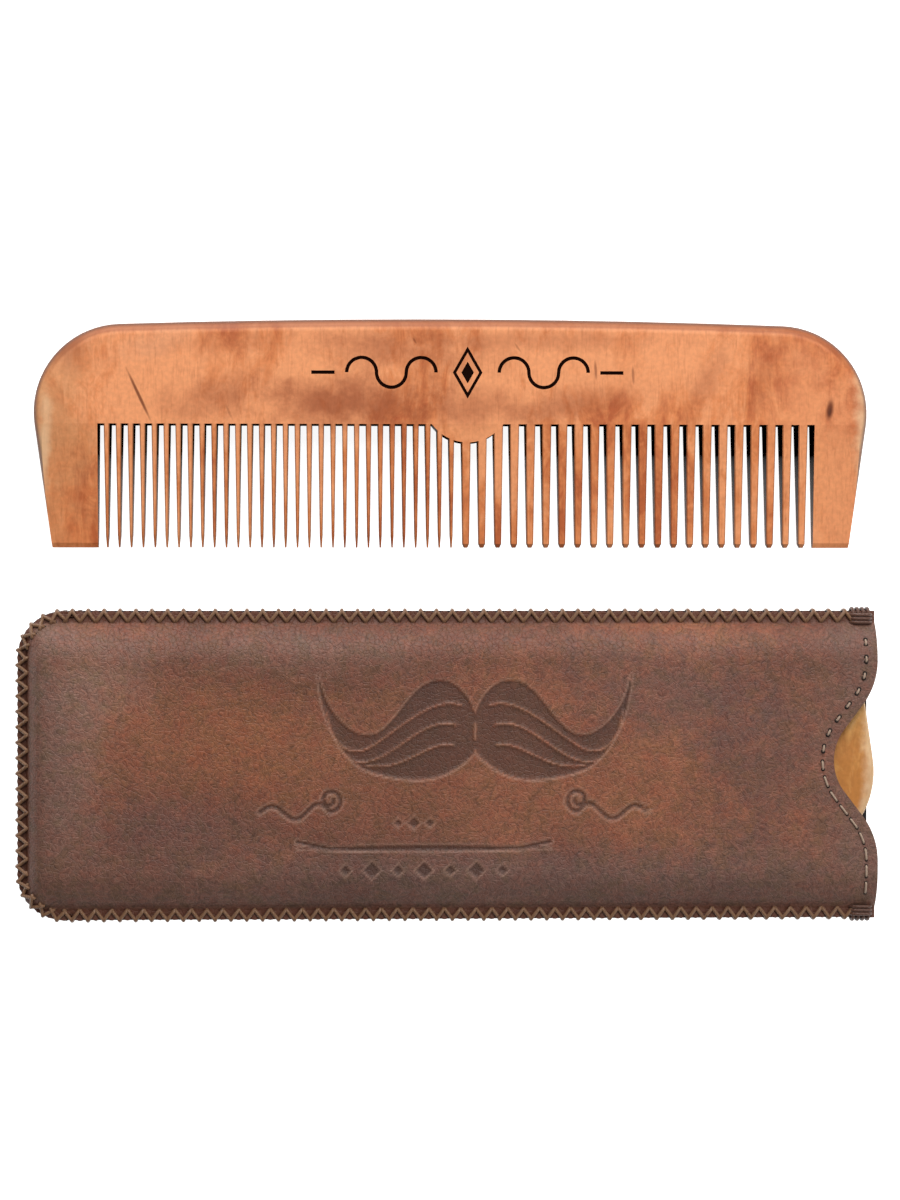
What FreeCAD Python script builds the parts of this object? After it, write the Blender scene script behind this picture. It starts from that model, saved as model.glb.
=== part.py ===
import FreeCAD, Part
import math
import os
import re
import Sketcher

# A wooden comb with fine and coarse teeth, and a stitched leather sleeve that holds a second comb.
# Everything lies flat: X runs along the combs, Y across them and Z up from the table.

SIZES = {
    # comb
    "comb_length": 180.0,
    "comb_height": 49.3,
    "comb_thickness": 7.5,
    "corner_radius": 19.0,
    "spine_rise": 1.2,
    "side_slope": 8.2,
    "edge_round": 2.6,
    "tooth_length": 26.5,
    "tip_thickness": 2.4,
    "foot_bevel": 1.0,
    "foot_thickness": 1.4,
    "fine_pitch": 2.55,
    "fine_count": 30,
    "fine_start": -74.2,
    "fine_root_width": 1.2,
    "fine_tip_width": 0.62,
    "fine_point_length": 2.6,
    "fine_point_width": 0.34,
    "coarse_pitch": 3.47,
    "coarse_count": 22,
    "coarse_gap": 3.15,
    "coarse_root_width": 2.0,
    "coarse_tip_width": 1.45,
    "coarse_point_length": 0.8,
    "coarse_point_width": 0.8,
    "tooth_edge": 0.22,
    "point_edge": 0.12,
    "point_thickness": 1.1,
    "lobe_half_width": 7.7,
    "lobe_depth": 3.9,
    "lobe_shift": 0.3,
    # engraving on the comb
    "groove_depth": 0.3,
    "groove_width": 0.75,
    "engraving_height": 37.6,
    "emblem_half_width": 3.2,
    "emblem_half_height": 5.6,
    "emblem_core": 0.42,
    "scroll_radius": 3.2,
    "scroll_first": 10.0,
    "scroll_step": 5.65,
    "dash_start": 28.6,
    "dash_length": 5.0,
    # sleeve
    "sleeve_end_room": 4.6,
    "sleeve_side_room": 17.1,
    "sleeve_corner": 10.0,
    "leather_thickness": 1.2,
    "lining_thickness": 0.3,
    "comb_clearance": 0.3,
    "side_seam": 3.4,
    "end_seam": 2.7,
    "side_ramp": 7.0,
    "end_ramp": 2.7,
    "ramp_corner": 8.5,
    "plateau_corner": 3.5,
    "shoulder_round": 2.4,
    "valley_round": 2.6,
    "notch_depth": 9.5,
    "notch_half_width": 21.6,
    "notch_centre": 1.0,
    "notch_inner_radius": 11.0,
    "notch_outer_radius": 16.0,
    "back_mouth_inset": 0.7,
    # how the pieces lie
    "comb_gap": 12.9,
    "comb_shift": 1.0,
    "sleeved_tip_room": 5.7,
    "mouth_inset": 0.1,
    # thread
    "thread_width": 0.6,
    "thread_height": 0.45,
    "edge_pitch": 3.4,
    "edge_reach": 2.4,
    "mouth_pitch": 3.6,
    "mouth_stitch": 2.3,
    "mouth_stitch_inset": 2.5,
    "mouth_seam_end": 5.0,
    "end_climb": 0.284,
    "pin_clearance": 0.02,
    "tack_pitch": 1.1,
    "tack_count": 4,
}

OVERRUN = 20.0  # how far a cut runs past what it cuts
THROUGH_ALL = 1  # a pocket's way of cutting right through
NEAR = 0.05  # edges nearer than this to an outline count as lying on it
LEVEL = 0.001  # an edge that rises less than this is level

document = FreeCAD.newDocument("CombSet")
sheet = document.addObject("Spreadsheet::Sheet", "Sizes")
for row, (alias, number) in enumerate(SIZES.items(), start=1):
    sheet.set(f"A{row}", alias)
    sheet.set(f"B{row}", str(number))
    sheet.setAlias(f"B{row}", alias)
document.recompute()

ALIASES = re.compile(r"\b(" + "|".join(SIZES) + r")\b")


def bound(formula):
    """The formula with each size read from the sheet."""
    return ALIASES.sub(r"Sizes.\1", str(formula))


def value(formula):
    """The number that a formula of sizes gives now."""
    result = sheet.evalExpression(bound(formula))
    return float(getattr(result, "Value", result))


def point(across, up):
    return FreeCAD.Vector(value(across), value(up), 0)


def bind(item, prop, formula):
    item.setExpression(prop, bound(formula))


def origin_feature(body, role):
    return next(item for item in body.Origin.OriginFeatures if item.Role == role)


def new_body(label):
    body = document.addObject("PartDesign::Body", label)
    body.Label = label
    return body


def new_sketch(body, role, height="0"):
    """A sketch on one of the body's own planes, moved along that plane's normal."""
    sketch = body.newObject("Sketcher::SketchObject", "outline")
    sketch.AttachmentSupport = [(origin_feature(body, role), "")]
    sketch.MapMode = "FlatFace"
    if height != "0":
        bind(sketch, "AttachmentOffset.Base.z", height)
    return sketch


def add_arc(sketch, start, end, radius, turn):
    """An arc from start to end: turn 1 goes round to the left, turn -1 to the right."""
    chord = end - start
    half = chord.Length / 2
    side = FreeCAD.Vector(-chord.y, chord.x, 0).normalize() * turn
    centre = (start + end) * 0.5 + side * math.sqrt(max(radius * radius - half * half, 0))
    first, last = (start, end) if turn > 0 else (end, start)
    circle = Part.Circle(centre, FreeCAD.Vector(0, 0, 1), radius)
    angles = [math.atan2(end_point.y - centre.y, end_point.x - centre.x) for end_point in (first, last)]
    return sketch.addGeometry(Part.ArcOfCircle(circle, *angles))


def add_loop(sketch, steps):
    """A closed outline: each step is a corner, and may give the radius and turn of an arc to the next."""
    corners = [point(step[0], step[1]) for step in steps]
    ends = []
    for index, step in enumerate(steps):
        start = corners[index]
        end = corners[(index + 1) % len(steps)]
        if len(step) == 2:
            edge = sketch.addGeometry(Part.LineSegment(start, end))
            ends.append((edge, 1, 2))
            continue
        radius, turn = step[2:]
        edge = add_arc(sketch, start, end, value(radius), turn)
        ends.append((edge, 1, 2) if turn > 0 else (edge, 2, 1))
        number = sketch.addConstraint(Sketcher.Constraint("Radius", edge, value(radius)))
        bind(sketch, f"Constraints[{number}]", radius)
    for index, step in enumerate(steps):
        edge, first, _ = ends[index]
        before, _, last = ends[index - 1]
        sketch.addConstraint(Sketcher.Constraint("Coincident", before, last, edge, first))
        for kind, formula in zip(("DistanceX", "DistanceY"), step):
            number = sketch.addConstraint(Sketcher.Constraint(kind, -1, 1, edge, first, value(formula)))
            bind(sketch, f"Constraints[{number}]", formula)


def add_feature(body, kind, profile, **settings):
    """A PartDesign feature: text settings are formulas of sizes, the rest are plain values."""
    feature = body.newObject(f"PartDesign::{kind}", kind)
    feature.Profile = profile
    for name, setting in settings.items():
        if isinstance(setting, str):
            bind(feature, name, setting)
        else:
            setattr(feature, name, setting)
    profile.Visibility = False
    return feature


def add_row(body, originals, pitch, count):
    """Repeats features along X."""
    row = body.newObject("PartDesign::LinearPattern", "row")
    row.Originals = originals
    row.Direction = (origin_feature(body, "X_Axis"), [""])
    bind(row, "Length", f"({pitch}) * ({count} - 1)")
    bind(row, "Occurrences", count)
    body.Tip = row
    return row


def round_edges(body, base, radius, wanted):
    """Fillets every edge of the base that the test accepts."""
    document.recompute()
    names = [f"Edge{number}" for number, edge in enumerate(base.Shape.Edges, start=1) if wanted(edge)]
    fillet = body.newObject("PartDesign::Fillet", "rounding")
    fillet.Base = (base, names)
    bind(fillet, "Radius", radius)
    body.Tip = fillet
    return fillet


# ---- comb -------------------------------------------------------------------------------------

CORNER_X = "(comb_length/2 - corner_radius)"
CORNER_Y = "(comb_height - corner_radius - spine_rise)"
SPINE_RADIUS = f"(({CORNER_X}^2 + spine_rise*(spine_rise + 2*corner_radius))/(2*spine_rise))"
SPINE_SHARE = f"({SPINE_RADIUS}/({SPINE_RADIUS} - corner_radius))"
SPINE_END_X = f"({CORNER_X}*{SPINE_SHARE})"
SPINE_END_Y = f"(comb_height - {SPINE_RADIUS} + ({CORNER_Y} - comb_height + {SPINE_RADIUS})*{SPINE_SHARE})"
SIDE_X = f"({CORNER_X} + corner_radius*cos(side_slope))"
SIDE_Y = f"({CORNER_Y} - corner_radius*sin(side_slope))"
FOOT_X = f"({SIDE_X} - {SIDE_Y}*tan(side_slope))"

COARSE_START = "(fine_start + fine_pitch*(fine_count - 1) + coarse_gap)"
COARSE_END = f"({COARSE_START} + coarse_pitch*(coarse_count - 1))"
LOBE_X = f"({COARSE_START} + lobe_shift)"
LOBE_RADIUS = "((lobe_half_width^2 + lobe_depth^2)/(2*lobe_depth))"


def add_comb_blank(body):
    """The comb's outline, with a gently arched spine, round corners and sides that lean in to the tips."""
    outline = new_sketch(body, "XY_Plane")
    add_loop(outline, [
        (f"-{FOOT_X}", "0"),
        (FOOT_X, "0"),
        (SIDE_X, SIDE_Y, "corner_radius", 1),
        (SPINE_END_X, SPINE_END_Y, SPINE_RADIUS, 1),
        (f"-{SPINE_END_X}", SPINE_END_Y, "corner_radius", 1),
        (f"-{SIDE_X}", SIDE_Y),
    ])
    blank = add_feature(body, "Pad", outline, Midplane=True, Length="comb_thickness")
    half = value("comb_thickness/2")
    return round_edges(body, blank, "edge_round", lambda edge: (
        abs(abs(edge.CenterOfMass.z) - half) < 0.01 and edge.CenterOfMass.y > 1.0))


def add_comb_taper(body):
    """Both faces lean in from the root of the teeth to the tips, and the feet are bevelled."""
    slope = "((comb_thickness - tip_thickness)/2/tooth_length)"
    foot_half = f"(tip_thickness/2 + foot_bevel*{slope})"
    foot_slope = f"(({foot_half} - foot_thickness/2)/foot_bevel)"
    past_tip = 2.0
    for side in ("", "-"):
        wedge = new_sketch(body, "YZ_Plane")
        add_loop(wedge, [
            ("tooth_length", f"{side}(comb_thickness/2)"),
            ("foot_bevel", f"{side}{foot_half}"),
            (f"-{past_tip}", f"{side}(foot_thickness/2 - {past_tip}*{foot_slope})"),
            (f"-{past_tip}", f"{side}comb_thickness"),
            ("tooth_length", f"{side}comb_thickness"),
        ])
        add_feature(body, "Pocket", wedge, Midplane=True, Type=THROUGH_ALL)


def add_tooth_window(body):
    """Clears the room between the two guard teeth, round the lobe where fine and coarse teeth meet."""
    window = new_sketch(body, "XY_Plane")
    left = "(fine_start - fine_pitch + fine_root_width/2)"
    right = f"({COARSE_END} + coarse_pitch - coarse_root_width/2)"
    past_tip = 3.0
    add_loop(window, [
        (left, f"-{past_tip}"),
        (right, f"-{past_tip}"),
        (right, "tooth_length"),
        (f"{LOBE_X} + lobe_half_width", "tooth_length", LOBE_RADIUS, -1),
        (f"{LOBE_X} - lobe_half_width", "tooth_length"),
        (left, "tooth_length"),
    ])
    add_feature(body, "Pocket", window, Midplane=True, Type=THROUGH_ALL)


def add_tooth_section(body, place, height, width, depth, corner):
    """A rectangle with its corners taken off, across a tooth at one height above the tip."""
    section = new_sketch(body, "XZ_Plane", f"-({height})")
    half_x = f"({width})/2"
    half_z = f"({depth})/2"
    add_loop(section, [
        (f"{place} - {half_x}", f"{corner} - {half_z}"),
        (f"{place} - {half_x} + {corner}", f"-({half_z})"),
        (f"{place} + {half_x} - {corner}", f"-({half_z})"),
        (f"{place} + {half_x}", f"{corner} - {half_z}"),
        (f"{place} + {half_x}", f"{half_z} - {corner}"),
        (f"{place} + {half_x} - {corner}", half_z),
        (f"{place} - {half_x} + {corner}", half_z),
        (f"{place} - {half_x}", f"{half_z} - {corner}"),
    ])
    return section


def add_teeth(body, size, place):
    """One tooth, slender and softened along its edges, then its whole row."""
    point_height = f"{size}_point_length"
    lean = "((comb_thickness - tip_thickness)/tooth_length)"
    shoulder = f"(tip_thickness + {lean}*{point_height})"
    root = add_tooth_section(body, place, "tooth_length", f"{size}_root_width", "comb_thickness", "tooth_edge")
    neck = add_tooth_section(body, place, point_height, f"{size}_tip_width", shoulder, "tooth_edge")
    tip = add_tooth_section(body, place, "0", f"{size}_point_width", "point_thickness", "point_edge")
    tooth = add_feature(body, "AdditiveLoft", root, Sections=[neck, tip], Ruled=True)
    document.recompute()
    return add_row(body, [tooth], f"{size}_pitch", f"{size}_count")


def add_band(sketch, centre_x, centre_y, turn):
    """Half a ring, open downwards for turn 1 and upwards for turn -1."""
    inner = "(scroll_radius - groove_width/2)"
    outer = "(scroll_radius + groove_width/2)"
    add_loop(sketch, [
        (f"{centre_x} + {turn}*{outer}", centre_y, outer, 1),
        (f"{centre_x} - {turn}*{outer}", centre_y),
        (f"{centre_x} - {turn}*{inner}", centre_y, inner, -1),
        (f"{centre_x} + {turn}*{inner}", centre_y),
    ])


def add_rectangle(sketch, left, right, low, top):
    add_loop(sketch, [(left, low), (right, low), (right, top), (left, top)])


def add_lozenge(sketch, share):
    wide = f"({LOBE_X} + emblem_half_width*{share})"
    slim = f"({LOBE_X} - emblem_half_width*{share})"
    add_loop(sketch, [
        (wide, "engraving_height"),
        (LOBE_X, f"engraving_height + emblem_half_height*{share}"),
        (slim, "engraving_height"),
        (LOBE_X, f"engraving_height - emblem_half_height*{share}"),
    ])


def add_engraving(body):
    """A plain ornament burnt into one face: a framed lozenge between two waved lines and two dashes."""
    face = "comb_thickness/2"
    sketches = []
    frame = new_sketch(body, "XY_Plane", face)
    add_lozenge(frame, "1")
    add_lozenge(frame, "(1 - groove_width/emblem_half_width)")
    sketches.append(frame)
    core = new_sketch(body, "XY_Plane", face)
    add_lozenge(core, "emblem_core")
    sketches.append(core)
    for side in (-1, 1):
        for number in range(3):
            wave = new_sketch(body, "XY_Plane", face)
            centre = f"({LOBE_X} + {side}*(scroll_first + {number}*(scroll_step + groove_width)))"
            turn = 1 if number % 2 == 0 else -1
            add_band(wave, centre, "engraving_height", turn)
            sketches.append(wave)
        dash = new_sketch(body, "XY_Plane", face)
        ends = sorted([f"{LOBE_X} + {side}*dash_start", f"{LOBE_X} + {side}*(dash_start + dash_length)"],
                      key=value)
        add_rectangle(dash, *ends, "engraving_height - groove_width/2", "engraving_height + groove_width/2")
        sketches.append(dash)
    for sketch in sketches:
        add_feature(body, "Pocket", sketch, Length="groove_depth")


def make_comb(label, placement):
    body = new_body(label)
    add_comb_blank(body)
    add_engraving(body)
    add_comb_taper(body)
    add_tooth_window(body)
    add_teeth(body, "fine", "fine_start")
    add_teeth(body, "coarse", COARSE_START)
    body.Placement = placement
    return body


def make_twin(label, original, placement):
    """A second piece of the same shape."""
    body = new_body(label)
    body.BaseFeature = original
    body.Placement = placement
    return body


# ---- sleeve -----------------------------------------------------------------------------------

CAVITY_RISE = "(comb_thickness/2 + comb_clearance)"
SLEEVE_LENGTH = "(comb_length + sleeve_end_room)"
SLEEVE_HEIGHT = "(comb_height + sleeve_side_room)"
LEFT = f"(-{SLEEVE_LENGTH}/2)"
RIGHT = f"({SLEEVE_LENGTH}/2)"
HALF_HEIGHT = f"({SLEEVE_HEIGHT}/2)"
LAYERS = {
    "cavity": "0",
    "lining": "lining_thickness",
    "leather": "(lining_thickness + leather_thickness)",
}


def add_ramp_section(body, height, half_width, left, corner):
    """A rectangle with round corners at the closed end, running out past the mouth."""
    section = new_sketch(body, "XY_Plane", height)
    past_mouth = f"({RIGHT} + {OVERRUN})"
    add_loop(section, [
        (past_mouth, f"-({half_width})"),
        (past_mouth, half_width),
        (f"{left} + {corner}", half_width, corner, 1),
        (left, f"{half_width} - {corner}"),
        (left, f"{corner} - ({half_width})", corner, 1),
        (f"{left} + {corner}", f"-({half_width})"),
    ])
    return section


def make_mound(label, offset):
    """Everything under one of the sleeve's surfaces: flat at the seam, raised over the comb."""
    side_shift = f"({offset}*tan(atan({CAVITY_RISE}/side_ramp)/2))"
    end_shift = f"({offset}*tan(atan({CAVITY_RISE}/end_ramp)/2))"
    half_width = f"({HALF_HEIGHT} - side_seam + {side_shift})"
    left = f"({LEFT} + end_seam - {end_shift})"
    body = new_body(label)
    outline = new_sketch(body, "XY_Plane", f"-{OVERRUN}")
    add_loop(outline, [
        (RIGHT, f"-{HALF_HEIGHT}"),
        (RIGHT, HALF_HEIGHT),
        (f"{LEFT} + sleeve_corner", HALF_HEIGHT, "sleeve_corner", 1),
        (LEFT, f"{HALF_HEIGHT} - sleeve_corner"),
        (LEFT, f"sleeve_corner - {HALF_HEIGHT}", "sleeve_corner", 1),
        (f"{LEFT} + sleeve_corner", f"-{HALF_HEIGHT}"),
    ])
    add_feature(body, "Pad", outline, Length=f"{OVERRUN} + {offset}")
    foot = add_ramp_section(body, offset, half_width, left, f"(ramp_corner + {end_shift})")
    crown = add_ramp_section(body, f"{CAVITY_RISE} + {offset}", f"({half_width} - side_ramp)",
                             f"({left} + end_ramp)", f"(plateau_corner + {end_shift})")
    add_feature(body, "AdditiveLoft", foot, Sections=[crown], Ruled=True)
    beyond = new_sketch(body, "XY_Plane")
    add_rectangle(beyond, RIGHT, f"{RIGHT} + 2*{OVERRUN}", f"-{SLEEVE_HEIGHT}", SLEEVE_HEIGHT)
    raised = add_feature(body, "Pocket", beyond, Midplane=True, Type=THROUGH_ALL)
    top = value(f"{CAVITY_RISE} + {offset}")
    low = value(offset)
    past_edge = value(HALF_HEIGHT) - NEAR
    edge_left = value(LEFT) + NEAR
    mouth = value(RIGHT)

    def at_level(edge, level):
        ends = [vertex.Point for vertex in edge.Vertexes]
        if any(abs(end.z - level) > LEVEL for end in ends):
            return False
        middle = edge.valueAt((edge.FirstParameter + edge.LastParameter)/2)
        inside = abs(middle.y) < past_edge and middle.x > edge_left and middle.x < mouth - NEAR
        if not inside:
            return False
        return not is_corner(middle)

    def is_corner(middle):
        centre_x = value(f"{LEFT} + sleeve_corner")
        centre_y = value(f"{HALF_HEIGHT} - sleeve_corner")
        radius = value("sleeve_corner")
        from_centre = math.hypot(min(middle.x - centre_x, 0), max(abs(middle.y) - centre_y, 0))
        return from_centre > radius - NEAR

    softened = round_edges(body, raised, f"shoulder_round + {offset}", lambda edge: at_level(edge, top))
    round_edges(body, softened, f"valley_round - {offset}", lambda edge: at_level(edge, low))
    return body


def cut(label, base, tool):
    piece = document.addObject("Part::Cut", label)
    piece.Base = base
    piece.Tool = tool
    return piece


# The notch is an arc for the thumb, a straight run and an arc into the mouth, on each side.
NOTCH_REACH = "(notch_inner_radius + notch_outer_radius)"
NOTCH_REST = f"({NOTCH_REACH} - notch_depth)"
NOTCH_SPAN = f"sqrt(notch_half_width^2 + {NOTCH_REST}^2)"
NOTCH_LEAN = f"(atan(notch_half_width/{NOTCH_REST}) - acos({NOTCH_REACH}/{NOTCH_SPAN}))"


def notch_outline(inset="0"):
    """The notch's corners from its high end to its low end, moved into the leather by the inset."""
    inner = f"(notch_inner_radius + {inset})"
    outer = f"(notch_outer_radius - {inset})"
    inner_x = f"({RIGHT} - notch_depth + notch_inner_radius - {inner}*cos({NOTCH_LEAN}))"
    inner_y = f"({inner}*sin({NOTCH_LEAN}))"
    outer_x = f"({RIGHT} - notch_outer_radius + {outer}*cos({NOTCH_LEAN}))"
    outer_y = f"(notch_half_width - {outer}*sin({NOTCH_LEAN}))"
    return [
        (f"{RIGHT} - {inset}", "notch_centre + notch_half_width", outer, -1),
        (outer_x, f"notch_centre + {outer_y}"),
        (inner_x, f"notch_centre + {inner_y}", inner, 1),
        (inner_x, f"notch_centre - {inner_y}"),
        (outer_x, f"notch_centre - {outer_y}", outer, -1),
        (f"{RIGHT} - {inset}", "notch_centre - notch_half_width"),
    ]


def make_cutter(label, steps):
    """A tall block that trims the mouth."""
    body = new_body(label)
    outline = new_sketch(body, "XY_Plane")
    add_loop(outline, steps)
    add_feature(body, "Pad", outline, Midplane=True, Length=f"2*{OVERRUN}")
    return body


def make_layer(label, outer, inner, cutter, placement):
    """One sheet of the sleeve: what lies between two of its surfaces, trimmed at the mouth."""
    sheet_of_sleeve = cut(f"{label}_sheet", outer, inner)
    piece = cut(label, sheet_of_sleeve, cutter)
    piece.Placement = placement
    return piece


# ---- thread -----------------------------------------------------------------------------------

FLANGE = LAYERS["leather"]
SLANT = "atan(edge_pitch/2/edge_reach)"
EDGE_ROOM = f"(thread_width/2*tan({SLANT}))"


def add_hook(body, angle, lift, room, place_x, place_y, reach=None):
    """A flat thread bent round the seam: in over the front, down the edge and in under the back."""
    sketch = body.newObject("Sketcher::SketchObject", "hook")
    sketch.AttachmentSupport = [(origin_feature(body, "YZ_Plane"), "")]
    sketch.MapMode = "FlatFace"
    bind(sketch, "AttachmentOffset.Base.x", place_y)
    bind(sketch, "AttachmentOffset.Base.z", place_x)
    sketch.AttachmentOffset.Rotation.Axis = FreeCAD.Vector(0, 1, 0)
    bind(sketch, "AttachmentOffset.Rotation.Angle", angle)
    reach = reach or f"(edge_reach/cos({SLANT}))"
    top = f"({FLANGE} + thread_height)"
    add_loop(sketch, [
        (f"-{reach}", f"{FLANGE} + {lift}"),
        (room, FLANGE),
        (room, f"-{FLANGE}"),
        (f"-{reach}", f"-{FLANGE} - {lift}"),
        (f"-{reach}", f"-{top} - {lift}"),
        (f"{room} + thread_height", f"-{top}"),
        (f"{room} + thread_height", top),
        (f"-{reach}", f"{top} + {lift}"),
    ])
    return add_feature(body, "Pad", sketch, Midplane=True, Length="thread_width")


STRAIGHT_START = f"({LEFT} + sleeve_corner + edge_pitch)"
TACK_LENGTH = "(tack_pitch*(tack_count - 1) + thread_width)"
STRAIGHT_END = f"({RIGHT} - {TACK_LENGTH} - edge_pitch)"
STRAIGHT_COUNT = f"floor(({STRAIGHT_END} - {STRAIGHT_START})/edge_pitch + 1)"


def make_straight_edge_stitches(label, placement):
    """The zigzag along one long edge, drawn for the edge on the +Y side."""
    body = new_body(label)
    hooks = [add_hook(body, f"{side}*{SLANT}", "0", EDGE_ROOM, STRAIGHT_START, HALF_HEIGHT)
             for side in ("1", "-1")]
    document.recompute()
    add_row(body, hooks, "edge_pitch", STRAIGHT_COUNT)
    body.Placement = placement
    return body


CORNER_STITCHES = "round(pi/2*sleeve_corner/edge_pitch)"
END_HALF = f"({HALF_HEIGHT} - sleeve_corner)"
END_COUNT = f"round(2*{END_HALF}/edge_pitch + 1)"
END_PITCH = f"(2*{END_HALF}/({END_COUNT} - 1))"


def make_closed_end_stitches(label, placement):
    """The zigzag down the closed end and round its two corners."""
    body = new_body(label)
    centre_x = f"({LEFT} + sleeve_corner)"
    for side in (1, -1):
        corner = new_sketch(body, "XY_Plane")
        bind(corner, "AttachmentOffset.Base.x", centre_x)
        bind(corner, "AttachmentOffset.Base.y", f"{side}*{END_HALF}")
        corner.addGeometry(Part.Point(FreeCAD.Vector()), True)
        hooks = [add_hook(body, f"90deg + {lean}*{SLANT}", f"({CAVITY_RISE}*end_climb)", EDGE_ROOM,
                          LEFT, f"{side}*{END_HALF}") for lean in (1, -1)]
        document.recompute()
        turned = body.newObject("PartDesign::PolarPattern", "corner")
        turned.Originals = hooks
        turned.Axis = (corner, ["N_Axis"])
        turned.Reversed = side > 0
        bind(turned, "Angle", f"90deg*({CORNER_STITCHES} - 1)/{CORNER_STITCHES}")
        bind(turned, "Occurrences", CORNER_STITCHES)
        body.Tip = turned
        corner.Visibility = False
        document.recompute()
    column = body.newObject("PartDesign::LinearPattern", "column")
    column.Originals = hooks
    column.Direction = (origin_feature(body, "Y_Axis"), [""])
    bind(column, "Length", f"2*{END_HALF}")
    bind(column, "Occurrences", END_COUNT)
    body.Tip = column
    body.Placement = placement
    return body


def make_tack(label, side, placement):
    """The bar tack at a corner of the mouth: a few turns over the seam and one bar across them."""
    body = new_body(label)
    start = f"({RIGHT} - {TACK_LENGTH})"
    outward = "0deg" if side > 0 else "180deg"
    turn = add_hook(body, outward, "0", "0", start, f"{side}*{HALF_HEIGHT}", "edge_reach")
    document.recompute()
    add_row(body, [turn], "tack_pitch", "tack_count")
    bar = new_sketch(body, "XY_Plane", f"{FLANGE} + thread_height")
    middle = f"({side}*({HALF_HEIGHT} - edge_reach/2))"
    add_rectangle(bar, f"{start} - thread_width/2", f"{start} + {TACK_LENGTH} - thread_width/2",
                  f"{middle} - thread_width/2", f"{middle} + thread_width/2")
    add_feature(body, "Pad", bar, Length="thread_height")
    body.Placement = placement
    return body


def surface_height(surface, x, y):
    """How high the surface stands above the seam at one place."""
    ray = Part.makeLine(FreeCAD.Vector(x, y, 0), FreeCAD.Vector(x, y, OVERRUN))
    return surface.common(ray).BoundBox.ZMax


def notch_route():
    """The line of the mouth's stitches as one wire, from the high corner to the low one."""
    steps = notch_outline("mouth_stitch_inset")
    corners = [point(step[0], step[1]) for step in steps]
    corners.insert(0, point(steps[0][0], f"{HALF_HEIGHT} - mouth_seam_end"))
    corners.append(point(steps[-1][0], f"mouth_seam_end - {HALF_HEIGHT}"))
    edges = [Part.LineSegment(corners[0], corners[1]).toShape()]
    for index, step in enumerate(steps[:-1]):
        start, end = corners[index + 1], corners[index + 2]
        if len(step) == 2:
            edges.append(Part.LineSegment(start, end).toShape())
            continue
        radius, turn = value(step[2]), step[3]
        half = (end - start).Length/2
        side = FreeCAD.Vector(start.y - end.y, end.x - start.x, 0).normalize()*turn
        centre = (start + end)*0.5 + side*math.sqrt(radius*radius - half*half)
        middle = centre - side*radius
        edges.append(Part.Arc(start, middle, end).toShape())
    edges.append(Part.LineSegment(corners[-2], corners[-1]).toShape())
    return Part.Wire(edges)


def make_pin(start, end, radius):
    """A rounded pin between two points."""
    along = end - start
    shaft = Part.makeCylinder(radius, along.Length, start, along)
    return shaft.fuse([Part.makeSphere(radius, start), Part.makeSphere(radius, end)]).removeSplitter()


def rest_on(surface, ends, radius):
    """Sets the ends of a pin so high that the whole pin just clears the surface."""
    for end in ends:
        end.z = surface_height(surface, end.x, end.y) + 3*radius
    for _ in range(4):
        gap = Part.makeLine(*ends).distToShape(surface)[0] - radius - value("pin_clearance")
        for end in ends:
            end.z -= gap


def make_mouth_stitches(label, surface, placement):
    """The running stitch beside the notch: each stitch is a pin that lies on the leather."""
    radius = value("thread_height/2")
    half = value("mouth_stitch/2") - radius
    route = notch_route()
    count = round(route.Length/value("mouth_pitch"))
    marks = route.discretize(Number=2*count + 1)
    stitches = []
    for before, middle, after in zip(marks[0::2], marks[1::2], marks[2::2]):
        along = (after - before).normalize()*half
        ends = [middle - along, middle + along]
        rest_on(surface, ends, radius)
        stitches.append(make_pin(*ends, radius))
    piece = document.addObject("Part::Feature", label)
    piece.Shape = Part.makeCompound(stitches)
    piece.Placement = placement
    return piece


def sleeve_place(front):
    """Where the sleeve's pieces go: the back ones are turned over along the sleeve."""
    turn = FreeCAD.Rotation(FreeCAD.Vector(1, 0, 0), 0 if front else 180)
    return FreeCAD.Placement(FreeCAD.Vector(value(SLEEVE_X), value(SLEEVE_Y), value(SEAM_Z)), turn)


SEAM_Z = f"({CAVITY_RISE} + {FLANGE})"
EDGE_PROUD = f"(({EDGE_ROOM} + thread_height)*cos({SLANT}) + thread_width/2*sin({SLANT}))"
SLEEVE_X = f"({EDGE_PROUD}/2)"
TOTAL_Y = f"({SLEEVE_HEIGHT} + 2*{EDGE_PROUD} + comb_gap + comb_height)"
SLEEVE_Y = f"({EDGE_PROUD} + {HALF_HEIGHT} - {TOTAL_Y}/2)"

bare_place = FreeCAD.Placement(
    FreeCAD.Vector(value(f"{SLEEVE_X} + comb_shift"), value(f"{TOTAL_Y}/2 - comb_height"),
                   value("comb_thickness/2")),
    FreeCAD.Rotation())
sleeved_place = FreeCAD.Placement(
    FreeCAD.Vector(value(f"{SLEEVE_X} + {RIGHT} - mouth_inset - comb_length/2"),
                   value(f"{SLEEVE_Y} + {HALF_HEIGHT} - sleeved_tip_room"), value(SEAM_Z)),
    FreeCAD.Rotation(FreeCAD.Vector(1, 0, 0), 180))

comb = make_comb("bare_comb", bare_place)
pieces = [comb, make_twin("sleeved_comb", comb, sleeved_place)]

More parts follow.
